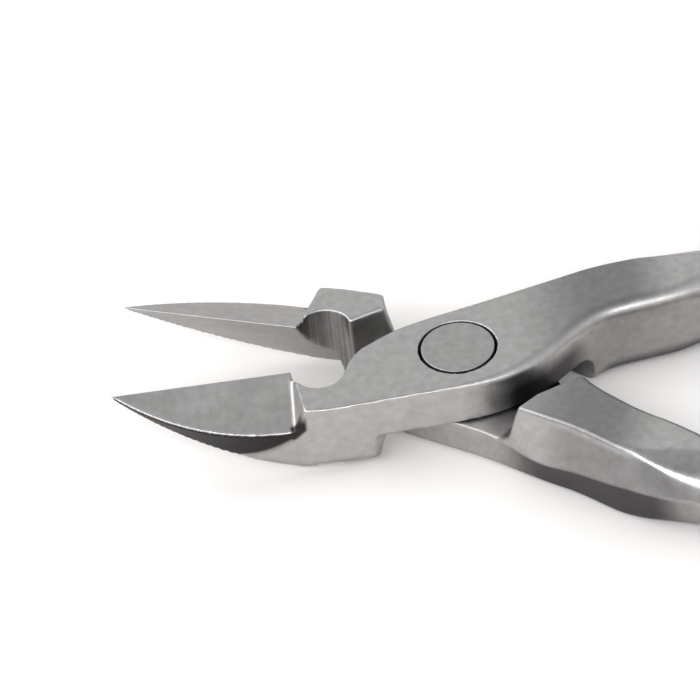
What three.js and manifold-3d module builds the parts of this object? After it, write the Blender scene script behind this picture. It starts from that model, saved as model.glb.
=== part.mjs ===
// A lap-joint nail nipper with two sprung arms, in millimetres.
//
// The pivot's axis is Z, through the origin. The jaws point along -X and the handles along +X.
// Z = 0 is the flat underside and Z = THICK the flat top of the joint.
//
// Both arms are drawn once, as the front arm with its jaws closed: the cutting edge lies on the
// XZ plane, the jaw is at -Y and the handle at +Y. The back arm is its mirror image in Y. Each
// arm is then turned by REST_TURN, which is how far the springs hold it from closed.

import * as THREE from "three";
import { mergeVertices } from "three/addons/utils/BufferGeometryUtils.js";
import Module from "manifold-3d";

const wasm = await Module();
wasm.setup();

// ---- driving dimensions ----

const THICK = 5.6;
const REST_TURN = THREE.MathUtils.degToRad(10.75);
const MID_Z = THICK / 2;
const LAP_Z = 2.45; // height of the joint's lap plane
const LAP_GAP = 0.1;
const OUTSIDE = 30; // how far a cutting shape reaches past what it cuts

// The blade: its cutting edge runs along X on the top plane, from TIP_X to the relief.
const EDGE_LENGTH = 12;
const EDGE_BASE_X = -11.05;
const TIP_X = EDGE_BASE_X - EDGE_LENGTH;
const EDGE_GAP = 0.03; // what each edge keeps from the middle plane when the jaws are shut
const BEVEL_SLOPE = 0.45; // fall of the ground top bevel for each mm out from the edge
const BACK_SLOPE = 1.67; // fall of the flat inner face for each mm out from the edge
const BEVEL_ARC = { radius: 17.1, x: -11.85, width: 4.17 }; // the bevel's outer edge in plan
const KEEL = { length: 12.3, width: 3.3, fullness: 0.62 }; // the blade's lowest edge in plan
const HEEL = { from: 7.7, to: 12.35 }; // where the upright wall of the heel starts and is full height
const HEEL_UNDER = 0.871; // rise of the heel's slanted underside for each mm out
const BLADE_STEPS = 18;
const BLADE_ROOT = 0.9; // how far the blade runs on inside the block
const FACET = {
  edge: [EDGE_BASE_X, 0, THICK],
  top: [-10.57, -4.23, THICK],
  bevel: [-11.23, -4.18, 3.73],
}; // the leaning face between the bevel and the joint's top
const BACK_CUT_END = { x: -9.2, z: 2.2, lean: 0.27 }; // where the inner face's grinding runs out

// The joint's outline in plan.
const BLOCK_END_X = -11.25;
const NEAR_SIDE = [
  [BLOCK_END_X, -4.2],
  [-8.8, -4.42],
  [-4.3, -4.17],
  [0, -3.9],
  [2.1, -3.55],
  [3.85, -2.9],
  [5.7, -1.82],
  [7.8, 0.05],
  [9.9, 1.55],
  [12, 2.35],
  [14, 2.93],
];
const FAR_SIDE = [
  [14, 7.22],
  [12, 6.85],
  [7.2, 5.53],
  [2, 4.2],
  [-3.15, 2.85],
  [-5.8, 1.5],
  [-6.6, 0.9],
  [-7.2, 0.1],
  [-7.64, -0.9],
];
const RELIEF = { x: -9.27, y: -0.33, radius: 1.75 }; // the round bite behind the cutting edges
const SIDE_STEPS = 40;

// The lap: the pocket that takes the other arm, and its two end walls.
const JAW_WALL = [
  [-8.3, -0.8],
  [-7.57, -1.43],
  [-5.84, -2.94],
  [-6.14, -3.98],
  [-6.6, -OUTSIDE],
];
const HANDLE_WALL = [
  [8.9, -OUTSIDE],
  [8.8, 1.1],
  [8.29, 1.72],
  [7.64, 2.4],
  [6.56, 3.57],
  [5.6, 5.2],
  [5, OUTSIDE],
  [-8.3, OUTSIDE],
];

// The handle: plan centre line, half width, and how square its section is at each place along X.
const HANDLE_LINE = [
  [12, 4.56, 2.12, 9],
  [16.5, 5.62, 1.98, 6],
  [25, 7.9, 2.15, 3.4],
  [40, 11, 2.5, 2.8],
  [55, 12.6, 2.75, 2.6],
  [70, 12.8, 2.85, 2.6],
  [85, 11.6, 2.8, 2.6],
  [97, 10, 2.5, 2.6],
];
const HANDLE_STEPS = 34;
const HANDLE_SIDES = 24;
const HANDLE_END = 4; // length of the rounded end

// The pivot screw: a wide head let into the front arm, and a shank down through the back arm.
const HEAD = { radius: 2.42, height: 1.6 };
const SHANK_RADIUS = 1.6;
const HEAD_CLEAR = 0.18;
const SHANK_CLEAR = 0.1;

// The leaf springs, one on each handle, which meet on the middle plane.
const SEAT = { x: 24, depth: 0.3, length: 12 };
const LEAF = { thick: 0.6, height: 4, pad: 8.6, gap: 0.05 };
const LEAF_MEET_X = 52;
const LEAF_PAST = 1.8; // how far each end reaches past the middle plane
const LEAF_REACH = [9, 7]; // lengths of the curve's end tangents
const LEAF_LIFT = -0.22; // turn of the leaf away from its handle where it leaves the seat
const LEAF_END_ANGLE = -1.2; // the end's direction at rest, from the X axis
const LEAF_STEPS = 18;
const TONGUE = { length: 4.3, height: 1.1 };
const FORK = { length: 4.3, height: 1.6 };
const LEAF_SCREW = { head: 1.7, dome: 0.75, rim: 0.35, shank: 0.9, depth: 2.4, clear: 0.12 };
const SLOT = { width: 0.45, depth: 0.5 };

// ---- geometry helpers ----

// A closed three.js geometry as a solid that can be joined and cut.
function solid(geometry) {
  const bare = geometry.clone();
  bare.deleteAttribute("normal");
  bare.deleteAttribute("uv");
  const merged = mergeVertices(bare, 1e-4);
  const mesh = new wasm.Mesh({
    numProp: 3,
    vertProperties: merged.attributes.position.array,
    triVerts: new Uint32Array(merged.index.array),
  });
  return new wasm.Manifold(mesh);
}

// A solid as a three.js geometry with flat shaded faces.
function geometryOf(made) {
  const mesh = made.getMesh();
  const geometry = new THREE.BufferGeometry();
  geometry.setAttribute("position", new THREE.BufferAttribute(mesh.vertProperties, 3));
  geometry.setIndex(new THREE.BufferAttribute(mesh.triVerts, 1));
  const flat = geometry.toNonIndexed();
  flat.computeVertexNormals();
  return flat;
}

const vectors = (points) => points.map(([x, y]) => new THREE.Vector2(x, y));

// A plan outline stood up as a solid between two heights.
function prism(outline, low, high) {
  const shape = new THREE.Shape(outline);
  const geometry = new THREE.ExtrudeGeometry(shape, { depth: high - low, bevelEnabled: false });
  return solid(geometry.translate(0, 0, low));
}

// Rings of equal counts, joined into one closed surface with a fan over each end.
function loft(rings) {
  const sides = rings[0].length;
  const points = rings.flat();
  const faces = [];
  for (let ring = 0; ring + 1 < rings.length; ring += 1) {
    for (let side = 0; side < sides; side += 1) {
      const a = ring * sides + side;
      const b = ring * sides + ((side + 1) % sides);
      faces.push(a, b, a + sides, b, b + sides, a + sides);
    }
  }
  for (const [start, order] of [[0, -1], [(rings.length - 1) * sides, 1]]) {
    const middle = new THREE.Vector3();
    for (let side = 0; side < sides; side += 1) middle.add(points[start + side]);
    points.push(middle.divideScalar(sides));
    for (let side = 0; side < sides; side += 1) {
      const pair = [start + side, start + ((side + 1) % sides)];
      faces.push(points.length - 1, ...(order > 0 ? pair : pair.reverse()));
    }
  }
  const geometry = new THREE.BufferGeometry().setFromPoints(points);
  geometry.setIndex(faces);
  return solid(geometry);
}

// A profile of radius and height pairs, turned round the Z axis.
function turned(profile, segments) {
  const lathe = new THREE.LatheGeometry(vectors(profile), segments);
  return solid(lathe.rotateX(Math.PI / 2));
}

// A plain shaft along Z.
function shaft(radius, low, high) {
  return turned([[0, low], [radius, low], [radius, high], [0, high]], 40);
}

// A rest-position point in an arm's own closed frame.
function inArm(x, y) {
  return new THREE.Vector2(x, y).rotateAround(new THREE.Vector2(), -REST_TURN);
}

// ---- the blade ----

// The blade's section at a distance from the tip, as points going round in the YZ plane.
function bladeSection(along) {
  const x = TIP_X + along;
  const fromArc = x - BEVEL_ARC.x;
  const sag = BEVEL_ARC.radius - Math.sqrt(BEVEL_ARC.radius ** 2 - fromArc ** 2);
  const bevel = Math.max(BEVEL_ARC.width - sag, 0.03);
  const share = along / KEEL.length;
  const keel = Math.max(KEEL.width * share * (1 + KEEL.fullness * (1 - share)), 0.02);
  const heel = THREE.MathUtils.clamp((along - HEEL.from) / (HEEL.to - HEEL.from), 0.04, 0.98);
  const at = (out, z) => new THREE.Vector3(x, -out - EDGE_GAP, z);
  const bevelZ = THICK - BEVEL_SLOPE * bevel;
  const keelZ = Math.max(THICK - BACK_SLOPE * keel, 0);
  const out = (bevel - keel) * heel;
  return [
    at(bevel, bevelZ),
    at(keel + out, THREE.MathUtils.lerp(keelZ, bevelZ, heel)),
    at(keel + out, keelZ + HEEL_UNDER * out),
    at(keel, keelZ),
    at(0, THICK),
  ];
}

function blade() {
  const rings = [];
  for (let step = 0; step <= BLADE_STEPS; step += 1) {
    rings.push(bladeSection(0.04 + (step / BLADE_STEPS) * (EDGE_LENGTH + BLADE_ROOT)));
  }
  const bite = shaft(RELIEF.radius, -1, THICK + 1).translate([RELIEF.x, RELIEF.y, 0]);
  return loft(rings).subtract(bite);
}

// ---- the joint's plate ----

function plateOutline() {
  const near = new THREE.SplineCurve(vectors(NEAR_SIDE)).getPoints(SIDE_STEPS);
  const far = new THREE.SplineCurve(vectors(FAR_SIDE)).getPoints(SIDE_STEPS);
  const [biteX, biteY] = FAR_SIDE[FAR_SIDE.length - 1];
  const from = Math.atan2(biteY - RELIEF.y, biteX - RELIEF.x);
  const to = -Math.PI - Math.asin(-RELIEF.y / RELIEF.radius);
  const bite = new THREE.EllipseCurve(
    RELIEF.x, RELIEF.y, RELIEF.radius, RELIEF.radius, from, to, true,
  ).getPoints(20);
  return [...near, ...far, ...bite.slice(1), new THREE.Vector2(BLOCK_END_X, 0)];
}

// Everything on the tip side of the leaning facet and above the blade's bevel.
function facetCut() {
  const [edge, top, bevel] = [FACET.edge, FACET.top, FACET.bevel].map(
    (point) => new THREE.Vector3(...point),
  );
  const along = top.clone().sub(edge).normalize();
  const down = bevel.clone().sub(top).normalize();
  const back = new THREE.Vector3(-3, 0, 0);
  const ring = (start) => [
    start,
    start.clone().addScaledVector(down, 2.3),
    start.clone().addScaledVector(down, 2.3).add(back),
    start.clone().add(back).setZ(THICK + 1),
    start.clone().addScaledVector(down, -1),
  ];
  return loft([
    ring(edge.clone().addScaledVector(along, 6)),
    ring(edge.clone().addScaledVector(along, -2)),
  ]);
}

// The space under the flat inner face of the blade.
function backCut() {
  const ring = (xAt) => [
    new THREE.Vector3(xAt(THICK + BACK_SLOPE), -EDGE_GAP + 1, THICK + BACK_SLOPE),
    new THREE.Vector3(xAt(-1), -EDGE_GAP + 1, -1),
    new THREE.Vector3(xAt(-1), -EDGE_GAP - (THICK + 1) / BACK_SLOPE, -1),
  ];
  const end = (z) => BACK_CUT_END.x + BACK_CUT_END.lean * (BACK_CUT_END.z - z);
  return loft([ring(end), ring(() => TIP_X)]);
}

function plate() {
  return prism(plateOutline(), 0, THICK).subtract(facetCut()).subtract(backCut());
}

// ---- the handle ----

const handleCurve = new THREE.CatmullRomCurve3(
  HANDLE_LINE.map(([x, y]) => new THREE.Vector3(x, y, MID_Z)),
);

// Half width and squareness of the section, read along HANDLE_LINE.
function handleValues(share) {
  const place = share * (HANDLE_LINE.length - 1);
  const index = Math.min(Math.floor(place), HANDLE_LINE.length - 2);
  const part = THREE.MathUtils.smoothstep(place - index, 0, 1);
  const [, , widthA, squareA] = HANDLE_LINE[index];
  const [, , widthB, squareB] = HANDLE_LINE[index + 1];
  return {
    width: THREE.MathUtils.lerp(widthA, widthB, part),
    square: THREE.MathUtils.lerp(squareA, squareB, part),
  };
}

function handleRing(share, shrink) {
  const middle = handleCurve.getPoint(share);
  const ahead = handleCurve.getTangent(share);
  const across = new THREE.Vector3(-ahead.y, ahead.x, 0).normalize();
  const { width, square } = handleValues(share);
  const ring = [];
  for (let side = 0; side < HANDLE_SIDES; side += 1) {
    const turn = ((side + 0.5) / HANDLE_SIDES) * 2 * Math.PI;
    const round = (value) => Math.sign(value) * Math.abs(value) ** (2 / square);
    ring.push(
      middle.clone()
        .addScaledVector(across, round(Math.cos(turn)) * width * shrink)
        .add(new THREE.Vector3(0, 0, round(Math.sin(turn)) * MID_Z * shrink)),
    );
  }
  return ring;
}

function handle() {
  const rings = [];
  const endShare = HANDLE_END / handleCurve.getLength();
  for (let step = 0; step <= HANDLE_STEPS; step += 1) {
    rings.push(handleRing((step / HANDLE_STEPS) * (1 - endShare), 1));
  }
  for (const turn of [0.25, 0.5, 0.7, 0.85, 0.96]) {
    const angle = (turn * Math.PI) / 2;
    rings.push(handleRing(1 - endShare * (1 - Math.sin(angle)), Math.cos(angle)));
  }
  return loft(rings);
}

// ---- the spring seat, leaf and screw ----

// The seat's frame: its point on the handle, and the handle's direction there.
function seatFrame() {
  let share = 0;
  while (handleCurve.getPoint(share).x < SEAT.x) share += 0.001;
  const middle = handleCurve.getPoint(share);
  const ahead = handleCurve.getTangent(share);
  const inward = new THREE.Vector3(ahead.y, -ahead.x, 0).normalize();
  const point = middle.addScaledVector(inward, handleValues(share).width - SEAT.depth);
  return { point, ahead: new THREE.Vector3(ahead.x, ahead.y, 0).normalize(), inward };
}

const seat = seatFrame();

// A point given along the seat and out from it towards the middle plane.
function onSeat(along, out) {
  return new THREE.Vector2(
    seat.point.x + seat.ahead.x * along + seat.inward.x * out,
    seat.point.y + seat.ahead.y * along + seat.inward.y * out,
  );
}

function seatCut() {
  const half = SEAT.length / 2;
  const outline = [onSeat(-half, 2), onSeat(half, 2), onSeat(half, 0), onSeat(-half, 0)];
  return prism(outline.reverse(), -1, THICK + 1);
}

// A turned shape whose own Z axis points into the seat, at mid height.
function intoSeat(made) {
  const axes = new THREE.Matrix4().makeBasis(
    seat.ahead,
    new THREE.Vector3(0, 0, 1),
    seat.inward.clone(),
  );
  axes.setPosition(seat.point.x, seat.point.y, MID_Z);
  return solid(geometryOf(made).applyMatrix4(axes));
}

// The leaf's middle line: straight on its seat, then a curve in to the middle plane.
function leafLine() {
  const half = LEAF.pad / 2;
  const out = LEAF.gap + LEAF.thick / 2;
  const leave = onSeat(half, out);
  const meet = inArm(LEAF_MEET_X, 0);
  const centre = new THREE.Vector2();
  const startWay = new THREE.Vector2(seat.ahead.x, seat.ahead.y).rotateAround(centre, LEAF_LIFT);
  const endWay = new THREE.Vector2(1, 0).rotateAround(centre, LEAF_END_ANGLE - REST_TURN);
  const curve = new THREE.CubicBezierCurve(
    leave,
    leave.clone().addScaledVector(startWay, LEAF_REACH[0]),
    meet.clone().addScaledVector(endWay, -LEAF_REACH[1]),
    meet,
  );
  const past = meet.clone().addScaledVector(endWay, LEAF_PAST);
  return [onSeat(-half, out), ...curve.getPoints(LEAF_STEPS), past];
}

// A line given an even thickness, as a closed outline.
function band(line, thick) {
  const sides = [[], []];
  line.forEach((point, index) => {
    const before = line[Math.max(index - 1, 0)];
    const after = line[Math.min(index + 1, line.length - 1)];
    const way = after.clone().sub(before).normalize();
    const across = new THREE.Vector2(-way.y, way.x).multiplyScalar(thick / 2);
    sides[0].push(point.clone().add(across));
    sides[1].push(point.clone().sub(across));
  });
  return [...sides[1], ...sides[0].reverse()];
}

// The stretch of a leaf's end that the tongue or the fork is cut in.
function leafEnd(line, length) {
  const end = line[line.length - 1];
  const way = end.clone().sub(line[line.length - 2]).normalize();
  return [end.clone().addScaledVector(way, -length), end.clone().addScaledVector(way, 2)];
}

function leaf(forked) {
  const line = leafLine();
  const low = MID_Z - LEAF.height / 2;
  const high = MID_Z + LEAF.height / 2;
  const hole = shaft(LEAF_SCREW.shank + LEAF_SCREW.clear, -1, 1.5);
  const strip = prism(band(line, LEAF.thick), low, high).subtract(intoSeat(hole));
  if (forked) {
    const slot = band(leafEnd(line, FORK.length), 2.4);
    return strip.subtract(prism(slot, MID_Z - FORK.height / 2, MID_Z + FORK.height / 2));
  }
  const trim = band(leafEnd(line, TONGUE.length), 2.4);
  return strip
    .subtract(prism(trim, low - 1, MID_Z - TONGUE.height / 2))
    .subtract(prism(trim, MID_Z + TONGUE.height / 2, high + 1));
}

function leafScrew() {
  const under = LEAF.gap * 2 + LEAF.thick;
  const rim = under + LEAF_SCREW.rim;
  const top = rim + LEAF_SCREW.dome;
  const { head, shank, depth } = LEAF_SCREW;
  const body = turned(
    [
      [0, -depth],
      [shank, -depth],
      [shank, under],
      [head, under],
      [head, rim],
      [head * 0.82, rim + LEAF_SCREW.dome * 0.55],
      [head * 0.5, rim + LEAF_SCREW.dome * 0.88],
      [0, top],
    ],
    24,
  );
  const slot = new THREE.BoxGeometry(SLOT.width, OUTSIDE, SLOT.depth * 2);
  return intoSeat(body.subtract(solid(slot.translate(0, 0, top))));
}

// ---- the arms and the pivot ----

// The lap pocket takes away the front arm below the lap plane, or the back arm above it.
function lapPocket(front) {
  const outline = vectors([...JAW_WALL, ...HANDLE_WALL]);
  return front
    ? prism(outline, -1, LAP_Z + LAP_GAP / 2)
    : prism(outline, LAP_Z - LAP_GAP / 2, THICK + 1);
}

function arm(front) {
  const screwHole = shaft(
    LEAF_SCREW.shank + LEAF_SCREW.clear,
    -LEAF_SCREW.depth - LEAF_SCREW.clear,
    1,
  );
  let made = plate()
    .add(handle())
    .subtract(lapPocket(front))
    .add(blade())
    .subtract(seatCut())
    .subtract(intoSeat(screwHole))
    .subtract(shaft(SHANK_RADIUS + SHANK_CLEAR, -1, THICK + 1));
  if (front) {
    const floor = THICK - HEAD.height - HEAD_CLEAR;
    made = made.subtract(shaft(HEAD.radius + HEAD_CLEAR, floor, THICK + 1));
  }
  return made;
}

function pivotScrew() {
  const neck = THICK - HEAD.height;
  const profile = [
    [0, 0],
    [SHANK_RADIUS, 0],
    [SHANK_RADIUS, neck],
    [HEAD.radius, neck],
    [HEAD.radius, THICK],
    [0, THICK],
  ];
  return turned(profile, 48);
}

// ---- materials and the assembly ----

const satin = new THREE.MeshStandardMaterial({ color: 0xa6a5a3, roughness: 0.42, metalness: 1 });
const polished = new THREE.MeshStandardMaterial({ color: 0xb8b7b4, roughness: 0.18, metalness: 1 });
const springSteel = new THREE.MeshStandardMaterial({
  color: 0xaaa9a8,
  roughness: 0.3,
  metalness: 1,
});

function named(name, made, material) {
  const mesh = new THREE.Mesh(geometryOf(made), material);
  mesh.name = name;
  return mesh;
}

// One arm with its spring leaf and screw: the back one is the front one's mirror image.
function half(side) {
  const front = side === "front";
  const group = new THREE.Group();
  group.add(named(`${side}_arm`, arm(front), satin));
  group.add(named(`${side}_spring_leaf`, leaf(!front), springSteel));
  group.add(named(`${side}_spring_screw`, leafScrew(), polished));
  group.scale.y = front ? 1 : -1;
  group.rotation.z = front ? REST_TURN : -REST_TURN;
  return group;
}

const nipper = new THREE.Group();
nipper.add(half("front"), half("back"));
nipper.add(named("pivot_screw", pivotScrew(), polished));

export default nipper;
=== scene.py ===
"""The looks of a lap-joint nail nipper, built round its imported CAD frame.

The arms are modelled as distance fields in millimetres, in the front arm's own closed frame:
the cutting edge lies on the XZ plane, the jaw at -Y and the handle at +Y. The back arm is the
mirror image in Y. A field is turned into an even quad mesh, which rounds every edge a little,
as forging and polishing do. Everything is then turned to its place and scaled to metres.
"""

import math

import bmesh
import bpy
import numpy as np
from mathutils import Matrix, Vector


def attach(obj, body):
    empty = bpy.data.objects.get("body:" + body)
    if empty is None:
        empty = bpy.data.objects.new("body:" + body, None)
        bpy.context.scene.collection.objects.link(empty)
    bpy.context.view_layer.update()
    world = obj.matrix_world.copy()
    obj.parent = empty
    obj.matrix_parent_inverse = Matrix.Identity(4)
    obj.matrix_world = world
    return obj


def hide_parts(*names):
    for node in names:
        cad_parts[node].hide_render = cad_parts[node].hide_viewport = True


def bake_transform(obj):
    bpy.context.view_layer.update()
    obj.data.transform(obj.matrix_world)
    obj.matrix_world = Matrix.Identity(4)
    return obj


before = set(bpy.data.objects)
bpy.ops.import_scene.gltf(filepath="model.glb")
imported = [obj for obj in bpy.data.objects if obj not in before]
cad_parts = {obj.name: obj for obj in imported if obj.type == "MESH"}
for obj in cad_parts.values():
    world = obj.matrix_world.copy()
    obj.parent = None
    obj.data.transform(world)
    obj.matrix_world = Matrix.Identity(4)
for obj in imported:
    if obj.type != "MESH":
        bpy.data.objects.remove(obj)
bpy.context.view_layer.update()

# ---- dimensions, in millimetres and radians ----
# They repeat the CAD's, apart from small changes to the bevel's arc, the facet's edge and the
# handle wall.

MM = 0.001
THICK = 5.6
MID_Z = THICK / 2
LAP_Z = 2.45
REST_TURN = math.radians(10.75)
LAP_GAP = 0.1

EDGE_LENGTH = 12
EDGE_BASE_X = -11.05
TIP_X = EDGE_BASE_X - EDGE_LENGTH
EDGE_GAP = 0.03
BEVEL_SLOPE = 0.45
BACK_SLOPE = 1.67
BEVEL_ARC_RADIUS = 17.5
BEVEL_ARC_X = -11.85
BEVEL_WIDTH = 4.17
KEEL_LENGTH = 12.3
KEEL_WIDTH = 3.3
KEEL_FULLNESS = 0.62
HEEL_FROM = 7.7
HEEL_TO = 12.35
HEEL_UNDER = 0.871
BLADE_END_X = -10.15
BACK_CUT_END_X, BACK_CUT_END_Z, BACK_CUT_LEAN = -9.2, 2.2, 0.27
FACET_EDGE = (-10.97, 0, 5.6)
FACET_TOP = (-10.57, -4.23, 5.6)
FACET_BEVEL = (-11.23, -4.18, 3.73)

BLOCK_END_X = -11.25
NEAR_SIDE = [
    (BLOCK_END_X, -4.2), (-8.8, -4.42), (-4.3, -4.17), (0, -3.9), (2.1, -3.55), (3.85, -2.9),
    (5.7, -1.82), (7.8, 0.05), (9.9, 1.55), (12, 2.35), (14, 2.93),
]
FAR_SIDE = [
    (14, 7.22), (12, 6.85), (7.2, 5.53), (2, 4.2), (-3.15, 2.85), (-5.8, 1.5), (-6.6, 0.9),
    (-7.2, 0.1), (-7.64, -0.9),
]
RELIEF_X, RELIEF_Y, RELIEF_RADIUS = -9.27, -0.33, 1.75
OUTSIDE = 30
JAW_WALL = [(-8.3, -0.8), (-7.57, -1.43), (-5.84, -2.94), (-6.14, -3.98), (-6.6, -OUTSIDE)]
HANDLE_WALL = [
    (8.9, -OUTSIDE), (8.8, 1.1), (8.2, 1.72), (7.5, 2.4), (6.3, 3.57), (5.3, 5.2),
    (5, OUTSIDE), (-8.3, OUTSIDE),
]

# Plan centre line of the handle and its half width.
HANDLE_LINE = [
    (16.5, 5.62, 1.98), (25, 7.9, 2.15), (40, 11, 2.5), (55, 12.6, 2.75), (70, 12.8, 2.85),
    (85, 11.6, 2.8), (94.4, 10.4, 2.55),
]
HANDLE_END = 2.6

HEAD_RADIUS = 2.42
HEAD_HEIGHT = 1.6
HEAD_CLEAR = 0.18
SHANK_RADIUS = 1.6
SHANK_CLEAR = 0.1

SEAT_X = 24
SEAT_DEPTH = 0.3
SEAT_LENGTH = 12
LEAF_THICK = 0.6
LEAF_HEIGHT = 4
LEAF_PAD = 8.6
LEAF_GAP = 0.05
LEAF_MEET_X = 52
LEAF_PAST = 1.8
LEAF_REACH = (9, 7)
LEAF_LIFT = -0.22
LEAF_END_ANGLE = -1.2
TONGUE_HEIGHT = 1.1
FORK_HEIGHT = 1.6
LEAF_CUT = 4.3
SCREW_SHANK = 0.9
SCREW_DEPTH = 2.4
SCREW_CLEAR = 0.12

# ---- the fields' own small sizes, which the CAD doesn't have ----

STEP = 0.12
HANDLE_STEP = 0.4
FINE_END_X = 17.5
HEAD_EDGE = 0.16
HANDLE_EDGE = 2.15
PARTING_Z = 2.4
BLOCK_CHAMFER = 0.87
SHOULDER_FILLET = 1.0
SHOULDER_LEAN = 0.8
TIP_BLUNT = 0.25
WALL_FLARE = 0.7
NECK_SHIFT_FRONT, NECK_SHIFT_BACK = -0.75, 0.75
FLANK_BULGE = 1.25
FLANK_BULGE_LOST = 0.85
PARTING_CLIMB = 0.9
GRID_MARGIN = 0.3
GRID_END_X = 98
GRID_BELOW, GRID_ABOVE = 4.7, 16.1
GRID_INSET = 0.03

# ---- the finish: lengths in millimetres, frequencies in features per millimetre ----

STEEL_WARM = (0.88, 0.86, 0.845)
STEEL_COOL = (1.06, 1.05, 1.04)
# The dark colour of the painted shade on the arms.
PAINTED_SHADE_COLOUR = (0.035, 0.032, 0.032, 1)
STEEL_EDGE_TINT = (0.7, 0.7, 0.7, 1)
NOISE_SPAN = (0.3, 0.7)
MOTTLE = 1.6
CLOUD = 0.35
POLISHED_ROUGH = (0.13, 0.2)
UNGROUND_LINES = 0.25
GRAIN = 0.5
BUMP_STRENGTH = 0.6
BUMP_DEPTH = 0.02

# How far the base colour is taken to the dark colour above: painted shade, standing for shade and
# dark reflections. It is painted on the arm, not reflected.
FLANK_DARK = 0.88
LOW_DARK = 0.85
STREAK_DARK = 0.75
NECK_DARK = 0.5
SIDE_DARK, SIDE_DARK_OUTER = 0.22, 0.18
RELIEF_DARK, RELIEF_STRIPES_DARK = 0.1, 0.4
JAW_WALL_DARK = 0.22

# ---- the stage ----

FLOOR_COLOUR = (0.82, 0.805, 0.795, 1)
FLOOR_ROUGH = 0.9
FLOOR_HALF_SIZE = 1500
FLOOR_DROP = 0.2
SKY = ((0, 0.85), (0.3, 1.0), (0.5, 0.95), (0.7, 0.98), (0.87, 0.7), (1, 0.62))
VIEW_WIDTH = 45.8716

# ---- curves ----


def spline(points, steps):
    """Points along a smooth curve through the given ones."""
    pts = np.array(points, float)
    ends = np.vstack([2 * pts[0] - pts[1], pts, 2 * pts[-1] - pts[-2]])
    found = []
    for a, b, c, d in zip(ends, ends[1:], ends[2:], ends[3:]):
        for t in np.arange(steps) / steps:
            found.append(
                0.5 * (2 * b + (c - a) * t + (2 * a - 5 * b + 4 * c - d) * t**2
                       + (3 * b - a - 3 * c + d) * t**3)
            )
    return np.array(found + [pts[-1]])


def normals(line):
    """Unit vectors to the left of a plan line."""
    way = np.gradient(line, axis=0)
    way /= np.linalg.norm(way, axis=1)[:, None]
    return np.column_stack([-way[:, 1], way[:, 0]])


handle_line = spline(HANDLE_LINE, 8)
handle_left = normals(handle_line[:, :2])


def arm_outline():
    """The arm's closed outline in plan, from the block round the handle and back to the relief."""
    centre, width = handle_line[:, :2], handle_line[:, 2:]
    inner = centre - handle_left * width
    outer = centre + handle_left * width
    turns = np.linspace(-math.pi / 2, math.pi / 2, 13)[1:-1, None]
    ahead = np.array([handle_left[-1, 1], -handle_left[-1, 0]])
    cap = (centre[-1] + ahead * np.cos(turns) * HANDLE_END
           + handle_left[-1] * np.sin(turns) * width[-1])
    near = spline(NEAR_SIDE + [tuple(inner[2])], 6)
    far = spline([tuple(outer[2])] + FAR_SIDE, 6)
    start = math.atan2(FAR_SIDE[-1][1] - RELIEF_Y, FAR_SIDE[-1][0] - RELIEF_X)
    turns = np.linspace(start, -math.pi - math.asin(-RELIEF_Y / RELIEF_RADIUS), 28)
    bite = np.column_stack([RELIEF_X + RELIEF_RADIUS * np.cos(turns),
                            RELIEF_Y + RELIEF_RADIUS * np.sin(turns)])
    return np.vstack([near, inner[3:], cap, outer[:2:-1], far, bite[1:], [(BLOCK_END_X, 0)]])


# ---- distance fields, negative inside ----


def smooth_max(a, b, radius):
    return np.maximum(a, b) + np.maximum(radius - np.abs(a - b), 0) ** 2 / (4 * radius)


def smooth_min(a, b, radius):
    return -smooth_max(-a, -b, radius)


def round_corner(a, b, radius):
    """What lies inside both a and b, with a round edge of that radius where they meet."""
    a, b = a + radius, b + radius
    return np.minimum(np.maximum(a, b), 0) + np.hypot(np.maximum(a, 0), np.maximum(b, 0)) - radius


def smooth_step(value, low, high):
    t = np.clip((value - low) / (high - low), 0, 1)
    return t * t * (3 - 2 * t)


def between(value, rise, fall):
    """One between a rise and a fall, each given by its two ends, and zero outside them."""
    return smooth_step(value, *rise) * (1 - smooth_step(value, *fall))


def outline_field(outline, x, y):
    """Distance from a closed plan outline."""
    best = np.full(np.broadcast(x, y).shape, np.inf)
    inside = np.zeros(best.shape, bool)
    for (x0, y0), (x1, y1) in zip(outline, np.roll(outline, -1, axis=0)):
        along_x, along_y = x1 - x0, y1 - y0
        share = ((x - x0) * along_x + (y - y0) * along_y) / (along_x**2 + along_y**2 + 1e-12)
        share = np.clip(share, 0, 1)
        best = np.minimum(best, (x - x0 - share * along_x) ** 2 + (y - y0 - share * along_y) ** 2)
        if y0 != y1:
            crossing = ((y0 > y) != (y1 > y)) & (x < along_x * (y - y0) / along_y + x0)
            inside ^= crossing
    return np.where(inside, -1, 1) * np.sqrt(best)


def plane_field(points, x, y, z, towards):
    """Distance from the plane through three points, growing along the given direction."""
    a, b, c = np.array(points, float)
    normal = np.cross(b - a, c - a)
    normal /= np.linalg.norm(normal) * np.sign(normal @ np.array(towards, float))
    return (x - a[0]) * normal[0] + (y - a[1]) * normal[1] + (z - a[2]) * normal[2]


def blade_side_parts(x, out, z):
    """The blade's undercut side, its heel's upright wall and slanted underside, and the upright
    plane at the bevel's outer edge."""
    sag = BEVEL_ARC_RADIUS - np.sqrt(BEVEL_ARC_RADIUS**2 - np.clip(x - BEVEL_ARC_X, -15, 15) ** 2)
    bevel = BEVEL_WIDTH - sag
    share = (x - TIP_X + TIP_BLUNT) / KEEL_LENGTH
    keel = KEEL_WIDTH * share * (1 + KEEL_FULLNESS * (1 - share))
    bevel_z = THICK - BEVEL_SLOPE * bevel
    keel_z = THICK - BACK_SLOPE * keel
    length = np.hypot(bevel - keel, bevel_z - keel_z) + 1e-6
    under = ((out - keel) * (bevel_z - keel_z) - (z - keel_z) * (bevel - keel)) / length
    heel = np.clip((x - TIP_X - HEEL_FROM) / (HEEL_TO - HEEL_FROM), 0, 1)
    wall = out - (keel + (bevel - keel) * heel)
    floor = (keel_z + HEEL_UNDER * (out - keel) - z) / math.hypot(1, HEEL_UNDER)
    return under, wall, floor, out - bevel


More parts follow.
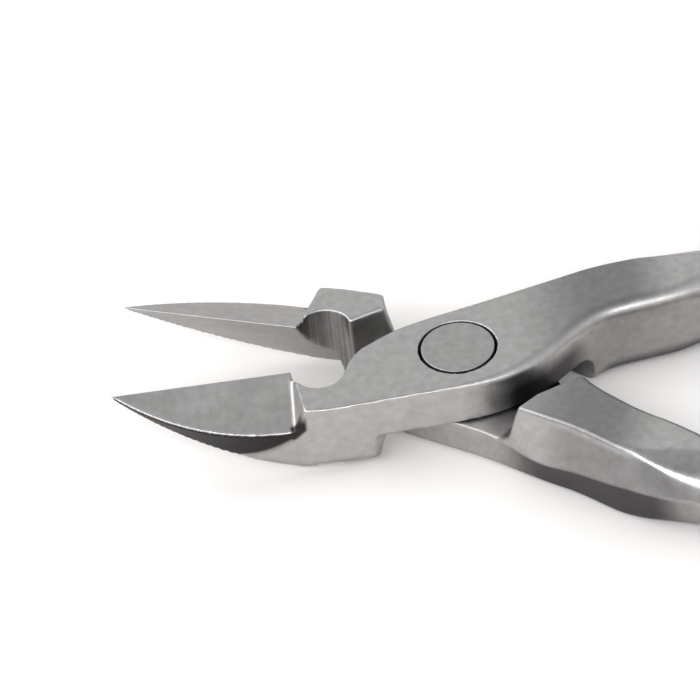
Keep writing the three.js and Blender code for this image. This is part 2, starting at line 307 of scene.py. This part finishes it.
def blade_side_field(x, out, z):
    """The outer side of the blade: undercut towards the tip, upright at the heel."""
    under, wall, floor, past_bevel = blade_side_parts(x, out, z)
    return np.maximum(smooth_min(under, smooth_max(wall, floor, 0.3), 0.05), past_bevel)


def edge_radius(x, inner):
    """How round the arm's long edges are: crisp on the head, softer on the inner side of the
    neck, and full along the handle, which the outer side steps into."""
    neck = HEAD_EDGE + inner * 0.85 * smooth_step(x, -3, 8)
    share = inner * smooth_step(x, 14.4, 20) + (1 - inner) * smooth_step(x, 12.5, 19)
    return neck + (HANDLE_EDGE - neck) * share


def handle_shift(x, front):
    """How far the forging sets the neck of each handle off its mirror image, outwards."""
    return between(x, (8.5, 15), (17, 34)) * (NECK_SHIFT_FRONT if front else NECK_SHIFT_BACK)


def neck_middle(x):
    """Y of the line that parts the arm's inner side from its outer side."""
    return np.interp(x, [0, 8, 16.5, *handle_line[2:, 0]], [0, 3, 5.62, *handle_line[2:, 1]])


def parting_height(x):
    """Height of the forged flank's parting line, which climbs towards the handle."""
    return PARTING_Z + PARTING_CLIMB * smooth_step(x, 6, 14)


def flank_bulge(x, z):
    """How far the forged outer flank stands out past the top outline, most at its parting line."""
    line = parting_height(x)
    above = FLANK_BULGE * (THICK - z) / (THICK - line)
    below = FLANK_BULGE - FLANK_BULGE_LOST * (line - z) / line
    return between(x, (2, 8), (12, 30)) * np.where(z > line, above, below)


def seat_frame():
    """The spring seat's point on the handle, at the line's first sample past SEAT_X, with the
    directions along the seat and out of it."""
    index = int(np.argmax(handle_line[:, 0] >= SEAT_X))
    inward = -handle_left[index]
    point = handle_line[index, :2] + inward * (handle_line[index, 2] - SEAT_DEPTH)
    return point, np.array([-inward[1], inward[0]]), inward


def arm_field(x, y, z, front):
    out = -y - EDGE_GAP
    middle = y - handle_shift(x, front)
    plan = outline_field(arm_outline(), x[:, :, 0], middle[:, :, 0])[:, :, None]
    inner_side = smooth_step(neck_middle(x) - middle, -0.6, 0.6)
    plan = plan - (1 - inner_side) * flank_bulge(x, z)
    slab = round_corner(plan, np.abs(z - MID_Z) - MID_Z, edge_radius(x, inner_side))
    under_edge = (BLOCK_CHAMFER - z - HEEL_UNDER * (4.3 - out)) / math.hypot(1, HEEL_UNDER)
    under_edge = np.minimum(under_edge, -4 - x)
    slab = smooth_max(slab, under_edge, 0.3)

    inner = (THICK - BACK_SLOPE * out - z) / math.hypot(1, BACK_SLOPE)
    side = np.maximum(blade_side_field(x, out, z), np.maximum(x - BLADE_END_X, TIP_X - x))
    arm = smooth_min(slab, np.maximum(side, inner), 0.06)
    facet = plane_field((FACET_EDGE, FACET_TOP, FACET_BEVEL), x, y, z, (-1, 0, 0))
    bevel = (z - THICK + BEVEL_SLOPE * out) / math.hypot(1, BEVEL_SLOPE)
    arm = smooth_max(arm, smooth_min(bevel, facet, 0.3), 0.16)
    arm = smooth_max(arm, z - THICK, 0.06)
    run_out = BACK_CUT_END_X + BACK_CUT_LEAN * (BACK_CUT_END_Z - z) - x
    arm = smooth_max(arm, smooth_min(inner, run_out, 0.1), 0.02)

    pocket_plan = outline_field(np.array(JAW_WALL + HANDLE_WALL), x[:, :, 0], y[:, :, 0])
    side_of_lap = z - LAP_Z if front else LAP_Z - z
    fillet = np.where(x > 0, SHOULDER_FILLET, 0.3)
    depth = np.clip(1 - np.abs(side_of_lap) / (LAP_Z if front else THICK - LAP_Z), 0, 1)
    flare = WALL_FLARE * smooth_step(4.4 - out, 0, 0.9) * smooth_step(out, 2.2, 3.2)
    flare = depth * np.where(x < -3, flare, SHOULDER_LEAN * smooth_step(y, 2.5, 4) * (x > 3))
    pocket = round_corner(pocket_plan[:, :, None] + flare, side_of_lap - LAP_GAP / 2, fillet)
    arm = smooth_max(arm, -pocket, np.where(x < -3, 0.25, 0.14))

    bite = RELIEF_RADIUS - np.hypot(x - RELIEF_X, y - RELIEF_Y)
    arm = smooth_max(arm, bite, 0.12)
    from_axis = np.hypot(x, y)
    arm = smooth_max(arm, SHANK_RADIUS + SHANK_CLEAR - from_axis, 0.05)
    if front:
        floor = THICK - HEAD_HEIGHT - HEAD_CLEAR
        well = np.maximum(from_axis - HEAD_RADIUS - HEAD_CLEAR, floor - z)
        arm = smooth_max(arm, -well, 0.05)

    point, ahead, inward = seat_frame()
    along = (x - point[0]) * ahead[0] + (y - point[1]) * ahead[1]
    clear = (x - point[0]) * inward[0] + (y - point[1]) * inward[1]
    seat = np.maximum(-clear, np.abs(along) - SEAT_LENGTH / 2)
    hole = np.hypot(along, z - MID_Z) - SCREW_SHANK - SCREW_CLEAR
    hole = np.maximum(hole, -clear - SCREW_DEPTH - SCREW_CLEAR)
    return smooth_max(smooth_max(arm, -seat, 0.08), -hole, 0.05)


# ---- meshes ----


def surface_net(xs, ys, zs, field):
    """Vertices and outward quads of the surface where a field sampled on a grid is zero."""
    inside = field < 0
    shape = np.array(field.shape) - 1
    count = np.zeros(shape, np.int8)
    corners = [(i, j, k) for i in (0, 1) for j in (0, 1) for k in (0, 1)]
    for i, j, k in corners:
        count += inside[i:i + shape[0], j:j + shape[1], k:k + shape[2]]
    cells = np.nonzero((count > 0) & (count < 8))
    number = np.full(shape, -1, np.int32)
    number[cells] = np.arange(len(cells[0]))

    total = np.zeros((len(cells[0]), 3))
    hits = np.zeros(len(cells[0]))
    grid = (xs, ys, zs)
    for a in corners:
        for axis in range(3):
            if a[axis]:
                continue
            b = list(a)
            b[axis] = 1
            at_a = tuple(c + o for c, o in zip(cells, a))
            at_b = tuple(c + o for c, o in zip(cells, b))
            value_a, value_b = field[at_a], field[at_b]
            crosses = (value_a < 0) != (value_b < 0)
            share = np.where(crosses, value_a / np.where(crosses, value_a - value_b, 1), 0)
            for other in range(3):
                low = grid[other][at_a[other]]
                high = grid[other][at_b[other]]
                total[:, other] += np.where(crosses, low + share * (high - low), 0)
            hits += crosses
    vertices = total / hits[:, None]

    quads = []
    for axis in range(3):
        low = [slice(None)] * 3
        high = [slice(None)] * 3
        low[axis], high[axis] = slice(0, -1), slice(1, None)
        leaves = inside[tuple(low)] & ~inside[tuple(high)]
        enters = ~inside[tuple(low)] & inside[tuple(high)]
        one, two = ((1, 2), (2, 0), (0, 1))[axis]
        for edges, flip in ((leaves, False), (enters, True)):
            at = np.nonzero(edges)
            ring = []
            for step_one, step_two in ((1, 1), (0, 1), (0, 0), (1, 0)):
                cell = [np.array(n) for n in at]
                cell[one] = cell[one] - step_one
                cell[two] = cell[two] - step_two
                ring.append(number[tuple(cell)])
            quads.append(np.column_stack(ring[::-1] if flip else ring))
    return vertices, np.vstack(quads)


def add_mesh(name, vertices, faces, material):
    """A smooth shaded object from vertices in metres and a grid of equal-sided faces."""
    mesh = bpy.data.meshes.new(name)
    mesh.vertices.add(len(vertices))
    mesh.vertices.foreach_set("co", np.asarray(vertices, np.float32).ravel())
    sides = faces.shape[1]
    mesh.loops.add(faces.size)
    mesh.loops.foreach_set("vertex_index", np.asarray(faces, np.int32).ravel())
    mesh.polygons.add(len(faces))
    mesh.polygons.foreach_set("loop_start", np.arange(0, faces.size, sides, dtype=np.int32))
    mesh.update(calc_edges=True)
    mesh.polygons.foreach_set("use_smooth", np.ones(len(faces), bool))
    mesh.materials.append(material)
    made = bpy.data.objects.new(name, mesh)
    bpy.context.scene.collection.objects.link(made)
    return made


def to_place(points, front):
    """Points of the front arm's closed frame in the row frame, in metres, for either arm."""
    turn = REST_TURN if front else -REST_TURN
    flip = 1 if front else -1
    x, y, z = points[:, 0], points[:, 1] * flip, points[:, 2]
    return MM * np.column_stack([
        x * math.cos(turn) - y * math.sin(turn), x * math.sin(turn) + y * math.cos(turn), z,
    ])


def grid_axes():
    """Grid lines placed so that a row of them runs just inside the cutting edge."""
    fine = np.arange(TIP_X - GRID_MARGIN, FINE_END_X, STEP)
    coarse = np.arange(fine[-1] + HANDLE_STEP, GRID_END_X, HANDLE_STEP)
    below = math.ceil(GRID_BELOW / STEP)
    above = math.ceil(GRID_ABOVE / STEP)
    ys = -EDGE_GAP - GRID_INSET + STEP * np.arange(-below, above)
    zs = THICK - GRID_INSET + STEP * np.arange(-math.ceil((THICK + 0.15) / STEP), 3)
    return np.concatenate([fine, coarse]), ys, zs


def make_arm(name, front, material):
    xs, ys, zs = grid_axes()
    field = arm_field(xs[:, None, None], ys[None, :, None], zs[None, None, :], front)
    vertices, faces = surface_net(xs, ys, zs, field)
    if not front:
        faces = faces[:, ::-1]
    return add_mesh(name, to_place(vertices, front), faces, material)


def ring_mesh(name, rings, material, place):
    """A closed surface through rings of points, with a fan over each end."""
    rings = np.array(rings)
    count, sides, _ = rings.shape
    mesh = bpy.data.meshes.new(name)
    build = bmesh.new()
    made = [[build.verts.new(place(p)) for p in ring] for ring in rings]
    for low, high in zip(made, made[1:]):
        for side in range(sides):
            after = (side + 1) % sides
            build.faces.new((low[side], low[after], high[after], high[side]))
    build.faces.new(made[0][::-1])
    build.faces.new(made[-1])
    bmesh.ops.recalc_face_normals(build, faces=build.faces)
    for face in build.faces:
        face.smooth = True
    build.to_mesh(mesh)
    build.free()
    mesh.materials.append(material)
    piece = bpy.data.objects.new(name, mesh)
    bpy.context.scene.collection.objects.link(piece)
    return piece


def turned(profile, sides=96):
    """Rings of points round the Z axis from radius and height pairs."""
    turns = np.arange(sides) / sides * 2 * math.pi
    return [
        [(radius * math.cos(t), radius * math.sin(t), height) for t in turns]
        for radius, height in profile
    ]


def rounded_profile(corners, radius, steps=4):
    """A profile of radius and height pairs with its sharp corners rounded."""
    pts = np.array(corners, float)
    found = [pts[0]]
    for before, corner, after in zip(pts, pts[1:], pts[2:]):
        back, ahead = before - corner, after - corner
        reach = min(radius, np.linalg.norm(back) / 2.1, np.linalg.norm(ahead) / 2.1)
        start = corner + back / np.linalg.norm(back) * reach
        end = corner + ahead / np.linalg.norm(ahead) * reach
        for t in np.linspace(0, 1, steps + 1):
            found.append((1 - t) ** 2 * start + 2 * t * (1 - t) * corner + t**2 * end)
    return [tuple(p) for p in found + [pts[-1]]]


def make_pivot(material):
    """The pivot screw: a wide flush head on a plain shank, with its edges just broken."""
    neck = THICK - HEAD_HEIGHT
    corners = [
        (0.4, 0), (SHANK_RADIUS, 0), (SHANK_RADIUS, neck), (HEAD_RADIUS, neck),
        (HEAD_RADIUS, THICK), (HEAD_RADIUS - 0.5, THICK), (0.4, THICK),
    ]
    rings = turned(rounded_profile(corners, 0.07))
    return ring_mesh("pivot_screw_turned", rings, material, lambda p: Vector(p) * MM)


def on_seat(along, out):
    point, ahead, inward = seat_frame()
    return point + ahead * along + inward * out


def leaf_line():
    """The leaf's middle line in plan: straight on its seat, then curved in to the middle plane."""
    out = LEAF_GAP + LEAF_THICK / 2
    _, ahead, _ = seat_frame()
    start = math.atan2(ahead[1], ahead[0]) + LEAF_LIFT
    start_way = np.array([math.cos(start), math.sin(start)])
    end_way = np.array([math.cos(LEAF_END_ANGLE - REST_TURN), math.sin(LEAF_END_ANGLE - REST_TURN)])
    meet = LEAF_MEET_X * np.array([math.cos(REST_TURN), -math.sin(REST_TURN)])
    leave = on_seat(LEAF_PAD / 2, out)
    hold = [leave, leave + start_way * LEAF_REACH[0], meet - end_way * LEAF_REACH[1], meet]
    t = np.linspace(0, 1, 41)[:, None]
    curve = ((1 - t) ** 3 * hold[0] + 3 * t * (1 - t) ** 2 * hold[1]
             + 3 * t**2 * (1 - t) * hold[2] + t**3 * hold[3])
    pad = [on_seat(share * LEAF_PAD / 2, out) for share in np.linspace(-1, 1, 16)[:-1]]
    past = [meet + end_way * LEAF_PAST * share for share in (0.25, 0.5, 0.75, 1)]
    return np.vstack([pad, curve, past])


def make_leaf(name, front, material):
    """A spring leaf: a strip with a rounded root, and a tongue or a fork at its free end."""
    line = leaf_line()
    way = np.linalg.norm(np.diff(line, axis=0), axis=1)
    along = np.concatenate([[0], np.cumsum(way)])
    half = LEAF_HEIGHT / 2
    slit = (TONGUE_HEIGHT if front else FORK_HEIGHT) / 2
    rows = np.array([-half, -(half + slit) / 2, -slit, 0, slit, (half + slit) / 2, half])
    vertices = []
    for point, run in zip(line, along):
        root = math.sqrt(max(1 - (1 - min(run / half, 1)) ** 2, 0.02))
        vertices += [(*point, MID_Z + row * root) for row in rows]
    faces = []
    for place in range(len(line) - 1):
        cut = along[place] > along[-1] - LEAF_CUT
        for row in range(len(rows) - 1):
            inner = row in (2, 3)
            if cut and inner != front:
                continue
            a = place * len(rows) + row
            faces.append((a, a + 1, a + 1 + len(rows), a + len(rows)))
    leaf = add_mesh(name, to_place(np.array(vertices), front), np.array(faces), material)
    clean = bmesh.new()
    clean.from_mesh(leaf.data)
    loose = [v for v in clean.verts if not v.link_faces]
    bmesh.ops.delete(clean, geom=loose, context="VERTS")
    clean.to_mesh(leaf.data)
    clean.free()
    thick = leaf.modifiers.new("thickness", "SOLIDIFY")
    thick.thickness = LEAF_THICK * MM
    thick.offset = 0
    soft = leaf.modifiers.new("edges", "BEVEL")
    soft.width = 0.09 * MM
    soft.segments = 3
    soft.limit_method = "ANGLE"
    soft.angle_limit = math.radians(50)
    leaf.modifiers.new("shading", "WEIGHTED_NORMAL")
    return leaf


def make_leaf_screw(name, front, material):
    """A slotted screw with a domed head, its axis pointing out of the spring seat."""
    head, rim, dome, slot_width, slot_depth = 1.7, 0.35, 0.75, 0.45, 0.5
    under = LEAF_GAP * 2 + LEAF_THICK
    step, reach = 0.06, 1.9
    axis = np.arange(-reach, reach, step)
    heights = np.arange(-SCREW_DEPTH - 0.13, under + rim + dome + 0.2, step)
    x, y, z = axis[:, None, None], axis[None, :, None], heights[None, None, :]
    radial = np.hypot(x, y)
    ball = (head**2 + dome**2) / (2 * dome)
    cap = np.sqrt(radial**2 + (z - under - rim - dome + ball) ** 2) - ball
    top = smooth_max(smooth_max(radial - head, cap, 0.15), under - z, 0.05)
    shank = smooth_max(np.maximum(radial - SCREW_SHANK, z - under - 0.1), -SCREW_DEPTH - z, 0.3)
    slot = np.maximum(np.abs(x) - slot_width / 2, under + rim + dome - slot_depth - z)
    screw = smooth_max(np.minimum(top, shank), -slot, 0.07)
    vertices, faces = surface_net(axis, axis, heights, screw)
    point, ahead, inward = seat_frame()
    basis = np.array([(*ahead, 0), (0, 0, 1), (*inward, 0)])
    placed = vertices @ basis + np.array([*point, MID_Z])
    if not front:
        faces = faces[:, ::-1]
    if np.linalg.det(basis) < 0:
        faces = faces[:, ::-1]
    return add_mesh(name, to_place(placed, front), faces, material)


# ---- materials ----


def add_node(tree, kind, **settings):
    """A new shader node with the given settings."""
    node = tree.nodes.new(kind)
    for name, value in settings.items():
        setattr(node, name, value)
    return node


def link(tree, source, output, target, socket):
    tree.links.new(source.outputs[output], target.inputs[socket])


def noise_of(tree, source, stretch, detail):
    """Noise over the piece, with stretch features per millimetre along each axis."""
    scale = add_node(tree, "ShaderNodeVectorMath", operation="MULTIPLY")
    scale.inputs[1].default_value = stretch
    link(tree, source, "Vector", scale, 0)
    noise = add_node(tree, "ShaderNodeTexNoise")
    noise.inputs["Scale"].default_value = 1
    noise.inputs["Detail"].default_value = detail
    link(tree, scale, "Vector", noise, "Vector")
    return noise


def range_of(tree, source, output, low, high, start=0.0, end=1.0):
    """A value spread from one range to another."""
    node = add_node(tree, "ShaderNodeMapRange")
    node.inputs["From Min"].default_value = start
    node.inputs["From Max"].default_value = end
    node.inputs["To Min"].default_value = low
    node.inputs["To Max"].default_value = high
    link(tree, source, output, node, "Value")
    return node


def steel(name, turn=0.0, tone=0.43, rough=(0.30, 0.42), brush=(9, 0.35, 0.6), lay=1.0,
          masks=False):
    """Stainless steel with fine grinding lines, a slight mottle and uneven gloss.

    turn lays the grinding lines along the piece and lay is their depth. With masks, the mesh's
    own attributes say where it is ground across the blade, polished, and painted with shade.
    """
    material = bpy.data.materials.new(name)
    material.use_nodes = True
    tree = material.node_tree
    shader = tree.nodes["Principled BSDF"]
    shader.inputs["Metallic"].default_value = 1.0
    coords = add_node(tree, "ShaderNodeTexCoord")
    own = add_node(tree, "ShaderNodeMapping")
    own.vector_type = "POINT"
    own.inputs["Rotation"].default_value = (0, 0, -turn)
    own.inputs["Scale"].default_value = (1 / MM, 1 / MM, 1 / MM)
    link(tree, coords, "Object", own, "Vector")

    lines = noise_of(tree, own, brush, 4)
    mottle = noise_of(tree, own, (MOTTLE,) * 3, 6)
    cloud = noise_of(tree, own, (CLOUD,) * 3, 2)

    colour = add_node(tree, "ShaderNodeValToRGB")
    warm, cool = colour.color_ramp.elements
    warm.position, cool.position = NOISE_SPAN
    warm.color = (*(tone * part for part in STEEL_WARM), 1)
    cool.color = (*(tone * part for part in STEEL_COOL), 1)
    link(tree, mottle, "Fac", colour, "Fac")
    shader.inputs["Specular Tint"].default_value = STEEL_EDGE_TINT

    gloss = range_of(tree, cloud, "Fac", *rough, *NOISE_SPAN)
    height = add_node(tree, "ShaderNodeMath", operation="MULTIPLY")
    link(tree, lines, "Fac", height, 0)
    height.inputs[1].default_value = lay
    if masks:
        polish = add_node(tree, "ShaderNodeAttribute", attribute_name="polish")
        ground = add_node(tree, "ShaderNodeAttribute", attribute_name="ground")
        shine = range_of(tree, cloud, "Fac", *POLISHED_ROUGH, *NOISE_SPAN)
        mix = add_node(tree, "ShaderNodeMix", data_type="FLOAT")
        link(tree, polish, "Fac", mix, "Factor")
        link(tree, gloss, "Result", mix, 2)
        link(tree, shine, "Result", mix, 3)
        link(tree, mix, 0, shader, "Roughness")
        # Painted shade: the base colour goes towards a dark colour where the arm's mesh says,
        # standing for shade and dark reflections.
        painted_shade = add_node(tree, "ShaderNodeAttribute", attribute_name="painted_shade")
        blend = add_node(tree, "ShaderNodeMix", data_type="RGBA")
        link(tree, painted_shade, "Fac", blend, "Factor")
        link(tree, colour, "Color", blend, 6)
        blend.inputs[7].default_value = PAINTED_SHADE_COLOUR
        link(tree, blend, 2, shader, "Base Color")
        fine = range_of(tree, ground, "Fac", UNGROUND_LINES, 1.0)
        weight = add_node(tree, "ShaderNodeMath", operation="MULTIPLY")
        link(tree, height, "Value", weight, 0)
        link(tree, fine, "Result", weight, 1)
        height = weight
    else:
        link(tree, gloss, "Result", shader, "Roughness")
        link(tree, colour, "Color", shader, "Base Color")
    grain = add_node(tree, "ShaderNodeMath", operation="MULTIPLY_ADD")
    link(tree, mottle, "Fac", grain, 0)
    grain.inputs[1].default_value = GRAIN
    link(tree, height, "Value", grain, 2)
    bump = add_node(tree, "ShaderNodeBump")
    bump.inputs["Strength"].default_value = BUMP_STRENGTH
    bump.inputs["Distance"].default_value = BUMP_DEPTH * MM
    link(tree, grain, "Value", bump, "Height")
    link(tree, bump, "Normal", shader, "Normal")
    return material


def blade_shade(x, out, z):
    """Painted shade in the undercut under the bevel, round to the foot of the facet."""
    under, wall = blade_side_parts(x, out, z)[:2]
    band = (1 - smooth_step(np.abs(under), 0.05, 0.1)) * smooth_step(wall, -0.02, 0.06)
    band *= 1 - smooth_step(x, -10.7, -10.5)
    corner_x = np.interp(z, [2.9, 3.19, 3.89, 5.2], [-11.5, -11.27, -10.57, -10.5])
    corner = (1 - smooth_step(x, corner_x - 0.1, corner_x + 0.1)) * smooth_step(x, -11.7, -11.5)
    corner *= smooth_step(out, 3.6, 3.8) * smooth_step(z, 2.9, 3.1) * (1 - smooth_step(z, 4.4, 5.3))
    return np.maximum(band, corner)


def flank_shade(x, z, outer):
    """Painted shade on the lower outer flank, up to its parting line."""
    line = parting_height(x)
    below = 1 - smooth_step(z, line - 0.25, line - 0.05)
    return FLANK_DARK * between(x, (3, 7), (15, 19)) * outer * below


def inner_shade(x, z, outer):
    """Painted shade on the low inner side by the pivot, and a painted dark streak along its foot.
    """
    low = between(x, (0.5, 4), (7, 9.5)) * (1 - smooth_step(z, 3.6, 5.2))
    streak = between(x, (8.5, 10.5), (19, 24)) * (1 - smooth_step(z, 0.5, 1.8))
    return (1 - outer) * np.maximum(LOW_DARK * low, STREAK_DARK * streak)


def neck_shade(x, z):
    """Painted shade on the top of the neck."""
    return NECK_DARK * between(x, (3, 9.5), (11.5, 15.5)) * smooth_step(z, 5.2, 5.5)


def side_shade(x, z, outer):
    """Painted shade on both sides of the neck, more on the outer one."""
    side = between(x, (6, 9.5), (16, 21)) * (1 - smooth_step(z, 4.9, 5.4))
    return side * (SIDE_DARK + SIDE_DARK_OUTER * outer)


def relief_shade(x, y, z):
    """Painted shade round the relief's wall, up to its rim, in uneven stripes of painted reflection
    off its grinding marks.
    """
    around = np.arctan2(y - RELIEF_Y, x - RELIEF_X)
    stripes = 0.5 + 0.5 * np.sin(31 * around + 3 * np.sin(11 * around))
    off_wall = np.abs(np.hypot(x - RELIEF_X, y - RELIEF_Y) - RELIEF_RADIUS)
    below_rim = 1 - smooth_step(z, THICK - 0.16, THICK - 0.04)
    marks = RELIEF_DARK + RELIEF_STRIPES_DARK * stripes
    return marks * (1 - smooth_step(off_wall, 0.06, 0.14)) * below_rim


def jaw_wall_shade(x, out, z):
    """Painted shade on the wall that the lap's pocket leaves on the back jaw."""
    along = between(x, (-7.7, -7.4), (-5.3, -5))
    return JAW_WALL_DARK * along * (z > LAP_Z + 0.2) * (z < THICK - 0.14) * (out < 4)


def mask_arm(arm, front):
    """Says on the arm's mesh where it is ground across the blade, polished, and painted with shade.
    """
    count = len(arm.data.vertices)
    places = np.empty(count * 3, np.float32)
    arm.data.vertices.foreach_get("co", places)
    places = places.reshape(-1, 3) / MM
    turn = -REST_TURN if front else REST_TURN
    x = places[:, 0] * math.cos(turn) - places[:, 1] * math.sin(turn)
    y = places[:, 0] * math.sin(turn) + places[:, 1] * math.cos(turn)
    y, z = y * (1 if front else -1), places[:, 2]
    y = y - handle_shift(x, front)
    out = -y - EDGE_GAP
    outer = smooth_step(y - neck_middle(x), 0.2, 0.8)
    # Painted shade, standing for shade and dark reflections, in each of these places.
    shades = [
        blade_shade(x, out, z), flank_shade(x, z, outer), inner_shade(x, z, outer),
        neck_shade(x, z), side_shade(x, z, outer), relief_shade(x, y, z),
    ]
    if not front:
        shades.append(jaw_wall_shade(x, out, z))
    outer_polish = outer * smooth_step(x + z - THICK, 13.2, 14.6)
    inner_polish = (1 - outer) * smooth_step(x, 16, 19)
    masks = {
        "ground": 1 - smooth_step(x, -10.9, -10.4),
        "polish": outer_polish + inner_polish,
        "painted_shade": np.maximum.reduce(shades),
    }
    for name, values in masks.items():
        layer = arm.data.attributes.new(name, "FLOAT", "POINT")
        layer.data.foreach_set("value", values.astype(np.float32))


# ---- stage, lights and camera ----


def make_floor():
    mesh = bpy.data.meshes.new("floor")
    build = bmesh.new()
    bmesh.ops.create_grid(build, x_segments=1, y_segments=1, size=FLOOR_HALF_SIZE * MM)
    build.to_mesh(mesh)
    build.free()
    floor = bpy.data.objects.new("floor", mesh)
    floor.location = (0, 0, -FLOOR_DROP * MM)
    bpy.context.scene.collection.objects.link(floor)
    material = bpy.data.materials.new("pale_floor")
    material.use_nodes = True
    shader = material.node_tree.nodes["Principled BSDF"]
    shader.inputs["Base Color"].default_value = FLOOR_COLOUR
    shader.inputs["Roughness"].default_value = FLOOR_ROUGH
    mesh.materials.append(material)


def make_world():
    """A pale studio, brightest overhead."""
    world = bpy.data.worlds.new("studio")
    world.use_nodes = True
    bpy.context.scene.world = world
    tree = world.node_tree
    coords = add_node(tree, "ShaderNodeTexCoord")
    split = add_node(tree, "ShaderNodeSeparateXYZ")
    link(tree, coords, "Generated", split, "Vector")
    ramp = add_node(tree, "ShaderNodeValToRGB")
    for height, _ in SKY[1:-1]:
        ramp.color_ramp.elements.new(height)
    for stop, (_, tone) in zip(ramp.color_ramp.elements, SKY):
        stop.color = (tone, tone, tone, 1)
    link(tree, split, "Z", ramp, "Fac")
    back = tree.nodes["Background"]
    link(tree, ramp, "Color", back, "Color")
    back.inputs["Strength"].default_value = 1.0


def add_light(name, place, aim, size, power):
    """A soft rectangular light, placed and aimed in millimetres."""
    data = bpy.data.lights.new(name, "AREA")
    data.shape = "RECTANGLE"
    data.size, data.size_y = size[0] * MM, size[1] * MM
    data.energy = power
    light = bpy.data.objects.new(name, data)
    light.location = Vector(place) * MM
    way = Vector(aim) - Vector(place)
    light.rotation_euler = way.to_track_quat("-Z", "Y").to_euler()
    bpy.context.scene.collection.objects.link(light)


def make_camera():
    """Looks down on the head from in front, a little to the left, rolled as a hand would."""
    azimuth, elevation, roll = math.radians(8.75), math.radians(41), math.radians(6.45)
    distance, target = 600, Vector((-7.07, -0.2, THICK))
    away = Vector((
        -math.sin(azimuth) * math.cos(elevation), math.cos(azimuth) * math.cos(elevation),
        -math.sin(elevation),
    ))
    data = bpy.data.cameras.new("camera")
    data.sensor_width = 36
    data.lens = data.sensor_width * distance / VIEW_WIDTH
    data.clip_start = 0.01
    camera = bpy.data.objects.new("camera", data)
    level = away.to_track_quat("-Z", "Y").to_matrix()
    turn = level @ Matrix.Rotation(-roll, 3, "Z")
    camera.matrix_world = Matrix.Translation((target - away * distance) * MM) @ turn.to_4x4()
    bpy.context.scene.collection.objects.link(camera)
    bpy.context.scene.camera = camera


make_camera()
make_floor()
make_world()
bpy.context.scene.view_settings.view_transform = "Standard"
add_light("key_left", (-340, 60, 290), (0, 0, 0), (320, 320), 0.65)
add_light("front_high", (-60, -320, 330), (0, 0, 0), (1100, 70), 2.0)

for side in ("front", "back"):
    front = side == "front"
    turn = REST_TURN if front else -REST_TURN
    arm_steel = steel(f"{side}_satin", turn=turn, masks=True)
    arm = make_arm(f"{side}_arm_forged", front, arm_steel)
    mask_arm(arm, front)
    leaf_steel = steel(
        f"{side}_spring", turn=turn, tone=0.46, rough=(0.2, 0.3), brush=(0.5, 0.5, 9),
    )
    leaf = make_leaf(f"{side}_leaf_bent", front, leaf_steel)
    screw_steel = steel(f"{side}_screw", turn=turn, tone=0.5, rough=(0.15, 0.22), lay=0.3)
    screw = make_leaf_screw(f"{side}_screw_turned", front, screw_steel)
    for piece, node, slot in (
        (arm, f"{side}_arm", "satin_steel"),
        (leaf, f"{side}_spring_leaf", "spring_steel"),
        (screw, f"{side}_spring_screw", "screw_steel"),
    ):
        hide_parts(node)
    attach(arm, side)
    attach(screw, side)
    # Two points: the seat's end, and as far past the place where the leaves meet.
    leave = to_place(np.array([[*on_seat(LEAF_PAD / 2, 0), MID_Z]]), True)[0]
    meet_x = LEAF_MEET_X * MM
    root, beyond = (leave[0], leave[1], 0), (2 * meet_x - leave[0], -leave[1], 0)
    if front:
        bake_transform(leaf)
    else:
        root, beyond = (root[0], -root[1], 0), (beyond[0], -beyond[1], 0)
        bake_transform(leaf)

pivot = make_pivot(steel("pivot_steel", tone=0.375, brush=(0.5, 7, 0.5), rough=(0.3, 0.38)))
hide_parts("pivot_screw")
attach(pivot, "back")
